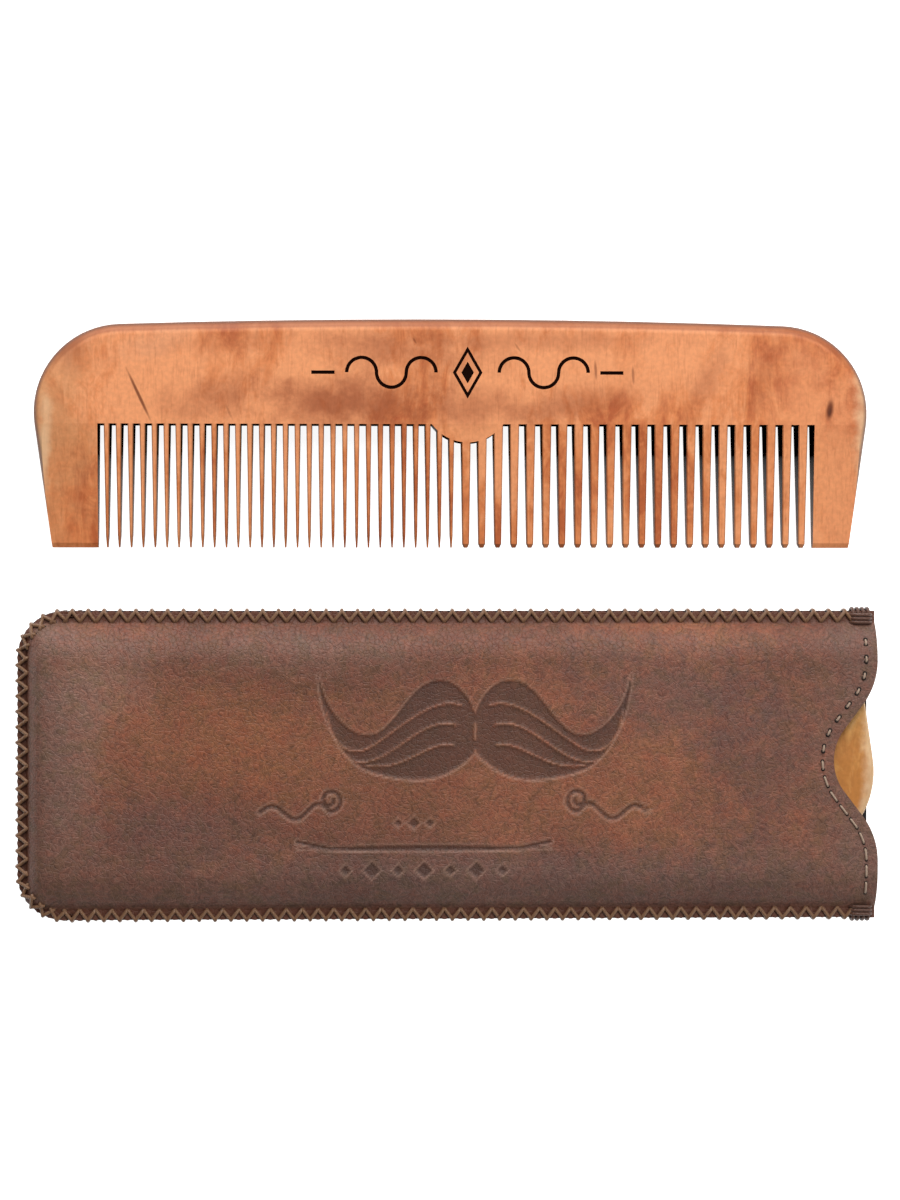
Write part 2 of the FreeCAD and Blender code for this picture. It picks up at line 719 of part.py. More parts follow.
mounds = {name: make_mound(f"{name}_mound", offset) for name, offset in LAYERS.items()}
past = f"({RIGHT} + {OVERRUN})"
notch = make_cutter("notch", notch_outline() + [
    (past, "notch_centre - notch_half_width"), (past, "notch_centre + notch_half_width")])
back_trim = make_cutter("back_trim", [
    (f"{RIGHT} - back_mouth_inset", f"-{HALF_HEIGHT} - {OVERRUN}"), (past, f"-{HALF_HEIGHT} - {OVERRUN}"),
    (past, f"{HALF_HEIGHT} + {OVERRUN}"), (f"{RIGHT} - back_mouth_inset", f"{HALF_HEIGHT} + {OVERRUN}")])
for side, cutter, front in (("front", notch, True), ("back", back_trim, False)):
    for kind, outer, inner in (("panel", "leather", "lining"), ("lining", "lining", "cavity")):
        pieces.append(make_layer(f"{side}_{kind}", mounds[outer], mounds[inner], cutter, sleeve_place(front)))
pieces.append(make_straight_edge_stitches("top_edge_stitches", sleeve_place(True)))
pieces.append(make_straight_edge_stitches("bottom_edge_stitches", sleeve_place(False)))
pieces.append(make_closed_end_stitches("closed_end_stitches", sleeve_place(True)))
pieces.append(make_tack("mouth_tack_top", 1, sleeve_place(True)))
pieces.append(make_tack("mouth_tack_bottom", -1, sleeve_place(True)))
document.recompute()
pieces.append(make_mouth_stitches("mouth_stitches", mounds["leather"].Shape, sleeve_place(True)))

document.recompute()
for item in document.Objects:
    if "Invalid" in item.State or "Error" in item.State:
        raise RuntimeError(f"{item.Label} failed: {item.State}")
os.makedirs("parts", exist_ok=True)
for piece in pieces:
    if piece.Shape.isNull() or not piece.Shape.isValid():
        raise RuntimeError(f"{piece.Label} has no valid shape")
    print(piece.Label, len(piece.Shape.Solids), round(piece.Shape.Volume, 1), piece.Shape.BoundBox)
    piece.Shape.exportStep(f"parts/{piece.Label}.step")
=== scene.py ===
import math
import bmesh
import bpy
import numpy as np
from mathutils import Matrix, Vector, geometry, noise


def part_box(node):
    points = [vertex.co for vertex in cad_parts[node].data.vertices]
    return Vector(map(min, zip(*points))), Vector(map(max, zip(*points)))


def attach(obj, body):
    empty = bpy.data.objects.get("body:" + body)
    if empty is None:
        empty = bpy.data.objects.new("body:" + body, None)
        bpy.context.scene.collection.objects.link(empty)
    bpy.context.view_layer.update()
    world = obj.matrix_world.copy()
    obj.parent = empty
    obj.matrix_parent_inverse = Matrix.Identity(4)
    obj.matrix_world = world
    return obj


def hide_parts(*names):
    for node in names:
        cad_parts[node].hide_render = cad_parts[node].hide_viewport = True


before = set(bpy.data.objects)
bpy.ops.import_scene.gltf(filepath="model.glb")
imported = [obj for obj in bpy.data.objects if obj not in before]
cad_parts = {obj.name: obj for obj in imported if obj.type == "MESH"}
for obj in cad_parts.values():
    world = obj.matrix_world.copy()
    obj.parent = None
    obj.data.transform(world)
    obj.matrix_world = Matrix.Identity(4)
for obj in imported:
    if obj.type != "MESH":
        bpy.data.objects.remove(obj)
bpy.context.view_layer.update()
mm = 0.001  # all shapes below are worked out in millimetres


def addNode(tree, kind, settings):
    # each setting is a number, a colour or an option, or another node's socket to link from
    node = tree.nodes.new(kind)
    for name, setting in settings.items():
        if name == "stops":
            elements = node.color_ramp.elements
            while len(elements) < len(setting):
                elements.new(1.0)
            for element, (place, colour) in zip(elements, setting):
                element.position = place
                element.color = colour
        elif isinstance(setting, bpy.types.NodeSocket):
            tree.links.new(setting, node.inputs[name])
        elif isinstance(name, int) or name in node.inputs:
            node.inputs[name].default_value = setting
        else:
            setattr(node, name, setting)
    return node


def calc(tree, operation, *values, clamp=False):
    settings = {"operation": operation, "use_clamp": clamp}
    settings.update(enumerate(values))
    return addNode(tree, "ShaderNodeMath", settings).outputs[0]


def vectorCalc(tree, operation, *values, **named):
    settings = {"operation": operation, **named}
    settings.update(enumerate(values))
    return addNode(tree, "ShaderNodeVectorMath", settings)


def spread(tree, value, fromLow, fromHigh, toLow=0.0, toHigh=1.0, kind="LINEAR"):
    # takes a range of values to another range
    return addNode(tree, "ShaderNodeMapRange", {
        "interpolation_type": kind, "Value": value, "From Min": fromLow, "From Max": fromHigh,
        "To Min": toLow, "To Max": toHigh}).outputs[0]


def noiseIn(tree, place, scale, detail=2.0, roughness=0.5, distortion=0.0):
    return addNode(tree, "ShaderNodeTexNoise", {
        "Vector": place, "Scale": scale, "Detail": detail, "Roughness": roughness,
        "Distortion": distortion}).outputs["Fac"]


def paint(tree, share, below, above):
    return addNode(tree, "ShaderNodeMix", {"data_type": "RGBA", 0: share, 6: below, 7: above}).outputs[2]


def ramp(tree, value, stops):
    return addNode(tree, "ShaderNodeValToRGB", {"stops": stops, "Fac": value}).outputs["Color"]


def shaded(tree, colour, level):
    return vectorCalc(tree, "SCALE", colour, Scale=level).outputs[0]


def moved(tree, place, **settings):
    return addNode(tree, "ShaderNodeMapping", {"Vector": place, **settings}).outputs[0]


def objectPlace(tree):
    return addNode(tree, "ShaderNodeTexCoord", {}).outputs["Object"]


def facing(tree):
    normal = addNode(tree, "ShaderNodeNewGeometry", {}).outputs["Normal"]
    return addNode(tree, "ShaderNodeSeparateXYZ", {0: normal}).outputs


def finishSurface(tree, colour, relief, strength, depth, settings):
    bump = addNode(tree, "ShaderNodeBump", {"Strength": strength, "Distance": depth, "Height": relief})
    shader = addNode(tree, "ShaderNodeBsdfPrincipled", {
        "Base Color": colour, "Normal": bump.outputs["Normal"], **settings})
    addNode(tree, "ShaderNodeOutputMaterial", {"Surface": shader.outputs[0]})


def linear(hexColour):
    channels = [int(hexColour[i:i + 2], 16) / 255 for i in (1, 3, 5)]
    return tuple(c / 12.92 if c <= 0.04045 else ((c + 0.055) / 1.055) ** 2.4 for c in channels) + (1.0,)


def newMaterial(name):
    material = bpy.data.materials.new(name)
    material.use_nodes = True
    material.node_tree.nodes.clear()
    return material, material.node_tree


# A mark's border: how torn it is, and where it ends and where it is full, in half sizes of the mark.
markBorder = {"wide": (1.8, 1.35, 0.1), "fine": (0.5, 1.1, 0.35), "wideFrom": 10.0}


def addMarks(tree, colour, local, ragged, marks, tints):
    # lays soft patches over a colour: x, y, half width, half height, lean in degrees, tint, how strong
    for x, y, halfWidth, halfHeight, lean, tint, strength in marks:
        spot = moved(tree, local, vector_type="TEXTURE", Location=(x * mm, y * mm, 0.0),
                     Rotation=(0.0, 0.0, math.radians(lean)), Scale=(halfWidth * mm, halfHeight * mm, 1.0))
        level = vectorCalc(tree, "MULTIPLY", spot, (1.0, 1.0, 0.0))
        away = vectorCalc(tree, "LENGTH", level.outputs[0])
        size = "wide" if halfWidth * halfHeight > markBorder["wideFrom"] else "fine"
        torn, end, full = markBorder[size]
        distance = calc(tree, "MULTIPLY_ADD", ragged, torn, away.outputs["Value"])
        mask = spread(tree, distance, end + torn / 2, full + torn / 2, 0.0, strength, "SMOOTHSTEP")
        colour = paint(tree, mask, colour, tints[tint])
    return colour


def boxInMm(node):
    low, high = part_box(node)
    return low / mm, high / mm


def addPiece(name, mesh, body, material, replaced=()):
    piece = bpy.data.objects.new(name, mesh)
    bpy.context.scene.collection.objects.link(piece)
    mesh.materials.clear()
    mesh.materials.append(material)
    for polygon in mesh.polygons:
        polygon.use_smooth = True
    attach(piece, body)
    if replaced:
        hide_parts(*replaced)
    return piece


# where things are, read from the parts in model.glb
panelLow, panelHigh = boxInMm("front_panel")
backLow, backHigh = boxInMm("back_panel")
combLow, combHigh = boxInMm("bare_comb")
heldLow, heldHigh = boxInMm("sleeved_comb")

sleeve = {
    "left": panelLow.x, "right": panelHigh.x, "backRight": backHigh.x,
    "middle": (panelLow.y + panelHigh.y) / 2,
    "halfHeight": (panelHigh.y - panelLow.y) / 2,
    "seam": (panelLow.z + backHigh.z) / 2,
    "leather": 1.2, "lining": 0.3,
    "corner": 10.0,
    "top": panelHigh.z,
    "seamWidth": 2.3, "shoulder": 9.0, "endSeamWidth": 1.8, "endShoulder": 4.6,
    "fullness": 2.3, "ripple": 0.10, "rippleLength": 24.0,
}
sleeve["flange"] = sleeve["lining"] + sleeve["leather"]
sleeve["rise"] = sleeve["top"] - sleeve["seam"] - sleeve["flange"]

# The thumb notch in the front panel's mouth edge: an arc between two arcs that bend the other way.
notch = {"depth": 9.5, "halfWidth": 21.6, "centre": 1.0, "innerRadius": 11.0, "outerRadius": 16.0}


def notchLean():
    reach = notch["innerRadius"] + notch["outerRadius"]
    rest = reach - notch["depth"]
    return math.atan2(notch["halfWidth"], rest) - math.acos(reach / math.hypot(rest, notch["halfWidth"]))


def mouthEdge(y, inset=0.0):
    # x of the notched edge, or of a line that runs beside it in the leather
    lean = notchLean()
    inner = notch["innerRadius"] + inset
    outer = notch["outerRadius"] - inset
    off = abs(y - notch["centre"])
    innerX = sleeve["right"] - notch["depth"] + notch["innerRadius"]
    outerX = sleeve["right"] - notch["outerRadius"]
    innerEnd = inner * math.sin(lean)
    outerEnd = notch["halfWidth"] - outer * math.sin(lean)
    if off < innerEnd:
        return innerX - math.sqrt(inner ** 2 - off ** 2)
    if off < outerEnd:
        share = (off - innerEnd) / (outerEnd - innerEnd)
        start = innerX - inner * math.cos(lean)
        end = outerX + outer * math.cos(lean)
        return start + (end - start) * share
    if off < notch["halfWidth"]:
        return outerX + math.sqrt(outer ** 2 - (notch["halfWidth"] - off) ** 2)
    return outerX + outer


def closedEdge(y):
    # x of the closed end, with its two round corners
    radius = sleeve["corner"]
    past = max(abs(y) - (sleeve["halfHeight"] - radius), 0.0)
    return sleeve["left"] + radius - math.sqrt(max(radius ** 2 - past ** 2, 0.0))


def smooth(share):
    share = min(max(share, 0.0), 1.0)
    return share * share * share * (share * (share * 6 - 15) + 10)


def pillow(share):
    # rises steeply from the seam and rounds off over the comb
    share = min(max(share, 0.0), 1.0)
    return (1 - (1 - share) ** sleeve["fullness"]) * smooth(min(share * 6 + 0.25, 1.0))


def edgeDistance(x, y):
    # how far inside the stitched edges a place is
    radius = sleeve["corner"]
    fromLeft = x - sleeve["left"]
    fromSide = sleeve["halfHeight"] - abs(y)
    if fromLeft < radius and fromSide < radius:
        return radius - math.hypot(radius - fromLeft, radius - fromSide)
    return min(fromLeft, fromSide)


# The zigzag round the edges and the tacks at its two ends, in millimetres, apart from the counts and
# from over and barLift, which are in thread radii.
thread = {
    "radius": 0.38, "pitch": 3.4, "reach": 2.4, "wobble": 0.22, "over": 0.40,
    "hole": 0.40, "holeSides": 10, "holeDepth": 0.16,
    "pinch": 0.50, "dent": 0.20, "pinchReach": 2.0,
    "tackTurns": 4, "tackPitch": 1.1, "tackInset": 0.8, "tackShift": 0.6,
    "tackBars": (0.9, 1.7, 2.5), "barLift": 2.6, "barSunk": 1.0,
}


def straightStations():
    left = sleeve["left"] + sleeve["corner"] + thread["pitch"] * 0.5
    right = sleeve["right"] - thread["tackTurns"] * thread["tackPitch"] - thread["pitch"] * 0.6
    count = round((right - left) / thread["pitch"])
    pitch = (right - left) / count
    return [left + pitch * number for number in range(count + 1)]


def cornerCount():
    return round(math.pi / 2 * sleeve["corner"] / thread["pitch"])


def endRows():
    return round(2 * (sleeve["halfHeight"] - sleeve["corner"]) / thread["pitch"])


def seamPull(x, y):
    # how hard the zigzag pulls on the seam here: 1 where a thread goes over the edge, 0 between two
    straight = sleeve["halfHeight"] - sleeve["corner"]
    cornerX = sleeve["left"] + sleeve["corner"]
    stations = straightStations()
    if x < cornerX and abs(y) > straight:
        angle = math.atan2(abs(y) - straight, cornerX - x)
        phase = angle / (math.pi / 2) * cornerCount() - 0.5
    elif x < cornerX:
        phase = (straight - y) / (2 * straight) * endRows() - 0.5
    elif x < stations[-1] + thread["pitch"] / 2:
        phase = (x - stations[0]) / (stations[1] - stations[0])
    else:
        return 0.0
    near = min(max(1 - edgeDistance(x, y) / thread["pinchReach"], 0.0), 1.0)
    return (0.5 + 0.5 * math.cos(2 * math.pi * phase)) * near


def puff(x, y):
    # how far the leather stands above its stitched flange: 0 at the seam, 1 over the comb
    side = pillow((sleeve["halfHeight"] - abs(y) - sleeve["seamWidth"]) / sleeve["shoulder"])
    end = pillow((x - sleeve["left"] - sleeve["endSeamWidth"]) / sleeve["endShoulder"])
    return min(side, 1.0) * min(end, 1.0)


def leatherTop(x, y):
    # height of the leather's face above the seam, for a place counted from the sleeve's middle line
    rise = puff(x, y)
    place = Vector((x / sleeve["rippleLength"], y / sleeve["rippleLength"], 0.3))
    ripple = (noise.noise(place) - 0.35) * sleeve["ripple"] * rise
    return sleeve["flange"] + sleeve["rise"] * rise + min(ripple, 0.0)


# The ornament pressed into the front, in millimetres, with y counted from the sleeve's middle line: a
# moustache, a waved line to each side below it, and a straight line with beads above and dots below.
ornament = {
    "centreX": 6.0, "centreY": 7.2, "tall": 1.25, "depth": 0.32, "edge": 0.28, "rim": 0.55, "proud": 0.05,
    "partingHigh": 1.6, "partingLow": -1.4, "partingHalf": 0.35, "hairHalf": 0.22,
    "lineY": -17.6, "lineHalf": 27.0, "lineX": -4.9, "lineThick": 0.55,
    "barbRise": 1.4, "barbRun": 6.5, "barbHalf": 0.3,
    "dotY": -22.3, "dotPitch": 5.6, "dotLarge": 1.15, "dotSmall": 0.7,
    "beadX": -2.2, "beadUp": 5.4, "beadPitch": 3.4, "beadLarge": 0.8, "beadSmall": 0.5, "diamond": 0.7,
    "scrollY": -9.8, "scrollLeft": -25.0, "scrollRight": 28.0, "scrollSize": 3.4, "scrollRun": 15.0,
    "waveSteps": 36, "waveStart": 0.35, "waveGrowth": 0.2, "curlSteps": 30, "curlTurn": 15,
    "curlRadius": 0.75, "curlTighter": 0.018, "stroke": 0.38,
}


def curveThrough(knots, steps=10):
    # each knot: place, handle before, handle after
    line = []
    for (place, _, after), (nextPlace, before, _) in zip(knots, knots[1:]):
        corners = [Vector((p[0], p[1], 0)) for p in (place, after, before, nextPlace)]
        line += geometry.interpolate_bezier(*corners, steps)[:-1]
    line.append(Vector((knots[-1][0][0], knots[-1][0][1], 0)))
    return [(p.x, p.y) for p in line]


def moustache():
    # half of a handlebar moustache, then its mirror image
    half = curveThrough([
        ((0, 3.0), (0, 3.0), (2.0, 7.6)),
        ((9.5, 8.6), (5.5, 9.6), (14.5, 7.4)),
        ((22.5, -0.6), (17.5, -0.2), (27.0, -0.9)),
        ((33.5, 9.8), (32.6, 4.0), (33.0, 2.0)),
        ((21.5, -7.0), (28.4, -5.6), (13.5, -8.6)),
        ((5.0, -6.6), (9.0, -8.4), (2.4, -5.4)),
        ((0, -3.0), (0.4, -3.8), (0, -3.0)),
    ])
    mirrored = [(-x, y) for x, y in reversed(half[1:-1])]
    return [placed(corner) for corner in half + mirrored]


def placed(corner, side=1):
    return side * corner[0] + ornament["centreX"], corner[1] * ornament["tall"] + ornament["centreY"]


def hairs():
    # the locks of the moustache: thin lines left standing in the pressed ground
    locks = [
        [((3.0, 4.6), (3.0, 4.6), (9.0, 6.4)), ((22.5, -2.6), (16.0, 0.6), (27.5, -4.8)),
         ((31.6, 3.4), (31.0, -1.4), (31.6, 3.4))],
        [((4.0, 1.2), (4.0, 1.2), (10.0, 2.8)), ((20.5, -4.4), (15.5, -2.6), (25.0, -6.0)),
         ((29.0, -2.4), (28.2, -4.8), (29.0, -2.4))],
        [((4.6, -2.2), (4.6, -2.2), (9.0, -1.4)), ((19.0, -5.8), (13.5, -5.2), (21.5, -6.0)),
         ((23.6, -5.6), (22.6, -5.9), (23.6, -5.6))],
    ]
    return [[placed(corner, side) for corner in curveThrough(lock)] for lock in locks for side in (1, -1)]


def scroll(centreX, direction):
    # a waved line that curls in at one end
    size = ornament["scrollSize"]
    steps = ornament["waveSteps"]
    line = []
    for step in range(steps + 1):
        swing = (ornament["waveStart"] + ornament["waveGrowth"] * step / steps) * size
        line.append((centreX - direction * ornament["scrollRun"] * (1 - step / steps),
                     ornament["scrollY"] + swing * math.sin(math.pi * step / (steps / 3))))
    for step in range(1, ornament["curlSteps"] + 1):
        angle = math.radians(-90 + step * ornament["curlTurn"])
        radius = size * (ornament["curlRadius"] - ornament["curlTighter"] * step)
        line.append((centreX + direction * radius * math.cos(angle),
                     ornament["scrollY"] + size * ornament["curlRadius"] + radius * math.sin(angle)))
    return line


def strokeDistance(points, line):
    # distance from each point to a line of straight runs
    best = np.full(len(points), 1e9)
    for start, end in zip(line, line[1:]):
        start = np.array(start)
        run = np.array(end) - start
        share = np.clip(((points - start) @ run) / max(run @ run, 1e-9), 0, 1)
        best = np.minimum(best, np.linalg.norm(points - start - share[:, None] * run, axis=1))
    return best


def insideOutline(points, line):
    inside = np.zeros(len(points), bool)
    for (x0, y0), (x1, y1) in zip(line, line[1:] + line[:1]):
        crosses = (y0 > points[:, 1]) != (y1 > points[:, 1])
        at = x0 + (points[:, 1] - y0) * (x1 - x0) / (y1 - y0 if y1 != y0 else 1e-9)
        inside ^= crosses & (points[:, 0] < at)
    return inside


def ornamentDistance(points):
    # signed distance to the ornament: negative inside the pressed shapes
    outline = moustache()
    distance = strokeDistance(points, outline + outline[:1])
    distance = np.where(insideOutline(points, outline), -distance, distance)
    parting = [(ornament["centreX"], ornament["centreY"] + ornament[end])
               for end in ("partingHigh", "partingLow")]
    distance = np.maximum(distance, ornament["partingHalf"] - strokeDistance(points, parting))
    for lock in hairs():
        distance = np.maximum(distance, ornament["hairHalf"] - strokeDistance(points, lock))
    for centre, direction in ((ornament["scrollLeft"], 1), (ornament["scrollRight"], -1)):
        wave = strokeDistance(points, scroll(centre, direction))
        distance = np.minimum(distance, wave - ornament["stroke"])
    along = np.abs(points[:, 0] - ornament["lineX"])
    taper = np.clip(1 - (along / ornament["lineHalf"]) ** 2, 0, 1) * ornament["lineThick"]
    line = [(ornament["lineX"] - ornament["lineHalf"], ornament["lineY"]),
            (ornament["lineX"] + ornament["lineHalf"], ornament["lineY"])]
    distance = np.minimum(distance, strokeDistance(points, line) - taper)
    for side in (-1, 1):
        end = ornament["lineX"] + side * ornament["lineHalf"]
        barb = [(end, ornament["lineY"] + ornament["barbRise"]),
                (end - side * ornament["barbRun"], ornament["lineY"])]
        distance = np.minimum(distance, strokeDistance(points, barb) - ornament["barbHalf"])
    dots = []
    for number in range(-3, 4):
        size = ornament["dotSmall"] if number % 2 else ornament["dotLarge"]
        dots.append((ornament["lineX"] + number * ornament["dotPitch"], ornament["dotY"], size))
    for number in (-1, 0, 1):
        size = ornament["beadSmall"] if number else ornament["beadLarge"]
        dots.append((ornament["lineX"] + ornament["beadX"] + number * ornament["beadPitch"],
                     ornament["lineY"] + ornament["beadUp"], size))
    for x, y, size in dots:
        apart = np.abs(points - np.array([x, y])).sum(axis=1)
        distance = np.minimum(distance, apart * ornament["diamond"] - size)
    return distance


# In millimetres, apart from counts, shares and the angle: the grid is fine over the ornament, and near
# the closed end and the mouth it is drawn to their shape.
panelMesh = {
    "columns": 330, "rows": 150, "fineLeft": -46.0, "fineRight": 42.0, "fineHalf": 25.0,
    "fineShareX": 0.70, "fineShareY": 0.82, "endZone": 24.0, "mouthZone": 22.0, "mouthFade": 1.5,
    "gap": 0.04, "cutRadius": 0.22, "cutAngle": 50,
}


def makePanel(name, node, front):
    half = sleeve["halfHeight"]
    bm = bmesh.new()
    columns = panelMesh["columns"] if front else panelMesh["columns"] // 2
    rows = panelMesh["rows"] if front else panelMesh["rows"] // 2
    bmesh.ops.create_grid(bm, x_segments=columns, y_segments=rows, size=1)
    restX = (1 - panelMesh["fineShareX"]) / 2
    restY = (1 - panelMesh["fineShareY"]) / 2
    sharesX = [0, restX, 1 - restX, 1]
    sharesY = [0, restY, 1 - restY, 1]
    placesX = [sleeve["left"], panelMesh["fineLeft"], panelMesh["fineRight"], sleeve["right"]]
    placesY = [-half, -panelMesh["fineHalf"], panelMesh["fineHalf"], half]
    cornerX = sleeve["left"] + sleeve["corner"]
    cornerY = half - sleeve["corner"]
    for vertex in bm.verts:
        x = float(np.interp((vertex.co.x + 1) / 2, sharesX, placesX))
        y = float(np.interp((vertex.co.y + 1) / 2, sharesY, placesY))
        mouth = mouthEdge(y) if front else sleeve["backRight"]
        nearMouth = max(1 - (sleeve["right"] - x) / panelMesh["mouthZone"], 0)
        x += (mouth - sleeve["right"]) * nearMouth ** panelMesh["mouthFade"]
        nearEnd = max(1 - (x - sleeve["left"]) / panelMesh["endZone"], 0)
        x += (closedEdge(y) - sleeve["left"]) * nearEnd
        pull = seamPull(x, y)
        inwards = Vector((max(cornerX - x, 0.0), -y if abs(y) > cornerY else 0.0, 0.0))
        if x < cornerX and abs(y) > cornerY:
            inwards.y = math.copysign(cornerY, y) - y
        dent = Vector((0.0, 0.0, leatherTop(x, y) - thread["dent"] * pull))
        vertex.co = Vector((x, y, 0.0)) + inwards.normalized() * thread["pinch"] * pull + dent
    places = np.array([vertex.co[:2] for vertex in bm.verts])
    press = np.zeros(len(places))
    rim = np.zeros(len(places))
    if front:
        distance = ornamentDistance(places)
        press = np.clip(0.5 - distance / ornament["edge"], 0, 1)
        press = press * press * (3 - 2 * press)
        rim = np.clip(1 - np.abs(distance - ornament["rim"] * 0.6) / (ornament["rim"] * 0.5), 0, 1)
        rim = rim * (1 - press)
        for vertex, deep, proud in zip(bm.verts, press, rim):
            vertex.co.z += ornament["proud"] * proud - ornament["depth"] * deep
    if not front:
        for vertex in bm.verts:
            vertex.co.z = -vertex.co.z
        bmesh.ops.reverse_faces(bm, faces=bm.faces)
    bmesh.ops.translate(bm, verts=bm.verts, vec=(0, sleeve["middle"], sleeve["seam"]))
    bmesh.ops.scale(bm, verts=bm.verts, vec=(mm, mm, mm))
    mesh = bpy.data.meshes.new(name)
    bm.to_mesh(mesh)
    bm.free()
    for label, values in (("press", press), ("rim", rim)):
        layer = mesh.attributes.new(label, "FLOAT", "POINT")
        layer.data.foreach_set("value", values.astype(np.float32))
    piece = addPiece(name, mesh, "sleeve", leather, [node])
    wall = piece.modifiers.new("wall", "SOLIDIFY")
    wall.thickness = (sleeve["leather"] - panelMesh["gap"]) * mm
    wall.offset = -1
    edge = piece.modifiers.new("cutEdge", "BEVEL")
    edge.width = panelMesh["cutRadius"] * mm
    edge.segments = 2
    edge.limit_method = "ANGLE"
    edge.angle_limit = math.radians(panelMesh["cutAngle"])
    return piece


# Polyurethane-coated split leather: matt brown, red-brown in the middle, with a fine irregular grain;
# painted shade darkens it towards the ends and the lower edge, and painted sheen lightens some greyer
# patches.
leatherLook = {
    "deep": "#583526", "brown": "#734634", "red": "#8C563C", "edge": "#695047", "band": "#5E3422",
    "press": "#452C22", "rim": "#A88471", "cut": "#3A251C", "rust": "#935938", "paintedShade": "#624842",
    "pale": "#8B6C5E", "greenDye": "#EDF3E4", "noDye": "#FFFFFF", "redDye": "#FFEFEA",
}
# Patches counted from the sleeve's middle: the redder ones are the leather's own tone, the darker ones
# towards the edges are painted shade, and the lighter, greyer ones are painted sheen.
leatherMarks = [
    (-46.0, 6.0, 24.0, 15.0, 0, "rust", 0.65), (-8.0, -2.0, 40.0, 14.0, -4, "rust", 0.35),
    (34.0, -7.0, 20.0, 12.0, 0, "rust", 0.25), (50.0, 16.0, 26.0, 12.0, -8, "paintedShade", 0.60),
    (70.0, 2.0, 16.0, 16.0, 0, "paintedShade", 0.35), (-74.0, 18.0, 14.0, 10.0, 10, "pale", 0.50),
    (-60.0, -14.0, 22.0, 8.0, 0, "paintedShade", 0.45), (66.0, -20.0, 22.0, 10.0, 0, "paintedShade", 0.35),
    (8.0, -24.0, 60.0, 7.0, 0, "paintedShade", 0.60), (-80.0, 2.0, 8.0, 26.0, 0, "pale", 0.40),
    (-30.0, 24.0, 30.0, 5.0, 0, "pale", 0.30),
]
# In millimetres: how far the painted shade reaches in from the ends and the lower edge, and the dyed
# flange.
leatherEdge = {"shadeStart": 20.0, "endShade": 2.0, "lowShade": 3.0, "bandInner": 2.9, "bandOuter": 2.3}


def makeLeather():
    material, tree = newMaterial("waxed leather")
    look = {key: linear(value) for key, value in leatherLook.items()}
    place = objectPlace(tree)
    cloud = noiseIn(tree, place, 30.0, 3.0)
    patch = noiseIn(tree, place, 210.0, 5.0, 0.7)
    mottle = calc(tree, "MULTIPLY_ADD", patch, 0.55, cloud)
    colour = ramp(tree, mottle, [(0.46, look["deep"]), (0.76, look["brown"]), (1.0, look["red"])])
    middleX = (sleeve["left"] + sleeve["right"]) / 2
    centre = moved(tree, place, Location=(-middleX * mm, -sleeve["middle"] * mm, 0.0))
    colour = addMarks(tree, colour, centre, patch, leatherMarks, look)
    # painted shade: darker towards both ends and the lower edge
    apart = addNode(tree, "ShaderNodeSeparateXYZ", {0: centre}).outputs
    halfLength = (sleeve["right"] - sleeve["left"]) / 2
    half = sleeve["halfHeight"]
    endShade = spread(tree, calc(tree, "ABSOLUTE", apart["X"]), (halfLength - leatherEdge["shadeStart"]) * mm,
                    (halfLength - leatherEdge["endShade"]) * mm, kind="SMOOTHSTEP")
    lowShade = spread(tree, calc(tree, "MULTIPLY", apart["Y"], -1.0), (half - leatherEdge["shadeStart"]) * mm,
                    (half - leatherEdge["lowShade"]) * mm, kind="SMOOTHSTEP")
    uneven = calc(tree, "MULTIPLY_ADD", cloud, 0.9, 0.15)
    edgeShade = calc(tree, "MULTIPLY", calc(tree, "MAXIMUM", endShade, lowShade), uneven, clamp=True)
    colour = paint(tree, edgeShade, colour, look["edge"])
    # the dye took unevenly: small redder and greener specks
    dye = noiseIn(tree, place, 330.0, 3.0, 0.6)
    tint = ramp(tree, dye, [(0.38, look["greenDye"]), (0.5, look["noDye"]), (0.64, look["redDye"])])
    tinted = vectorCalc(tree, "MULTIPLY", colour, tint)
    # crinkled grain: short bent folds about half a millimetre wide
    grain = noiseIn(tree, place, 430.0, 4.0, 0.68, 3.4)
    colour = shaded(tree, tinted.outputs[0], spread(tree, grain, 0.34, 0.66, 0.64, 1.36))
    # the flange under the zigzag is dyed darker and redder
    sideBand = spread(tree, calc(tree, "ABSOLUTE", apart["Y"]), (half - leatherEdge["bandInner"]) * mm,
                      (half - leatherEdge["bandOuter"]) * mm)
    endBand = spread(tree, apart["X"], (leatherEdge["bandInner"] - halfLength) * mm,
                     (leatherEdge["bandOuter"] - halfLength) * mm)
    band = calc(tree, "MAXIMUM", sideBand, endBand)
    colour = paint(tree, calc(tree, "MULTIPLY", band, 0.88), colour, look["band"])
    # pressed ground is dark; a painted highlight, partly the lighter pull-up of the bent leather, rings the
    # pressed shapes where the leather was pushed up
    for label, strength in (("press", 0.72), ("rim", 0.45)):
        level = addNode(tree, "ShaderNodeAttribute", {"attribute_name": label}).outputs["Fac"]
        colour = paint(tree, calc(tree, "MULTIPLY", level, strength), colour, look[label])
    # the raw cut edge, which faces sideways
    upright = calc(tree, "ABSOLUTE", facing(tree)["Z"])
    colour = paint(tree, spread(tree, upright, 0.55, 0.25), colour, look["cut"])
    creases = addNode(tree, "ShaderNodeTexVoronoi", {
        "feature": "DISTANCE_TO_EDGE", "Scale": 900.0, "Vector": place}).outputs["Distance"]
    relief = calc(tree, "MULTIPLY_ADD", spread(tree, creases, 0.0, 0.12), 0.5, grain)
    finishSurface(tree, colour, relief, 0.7, 0.00016, {
        "IOR": 1.48, "Specular IOR Level": 0.45, "Roughness": spread(tree, patch, 0.0, 1.0, 0.42, 0.62)})
    return material


leather = makeLeather()
makePanel("sleeveFront", "front_panel", True)
makePanel("sleeveBack", "back_panel", False)
print("leather panels done")


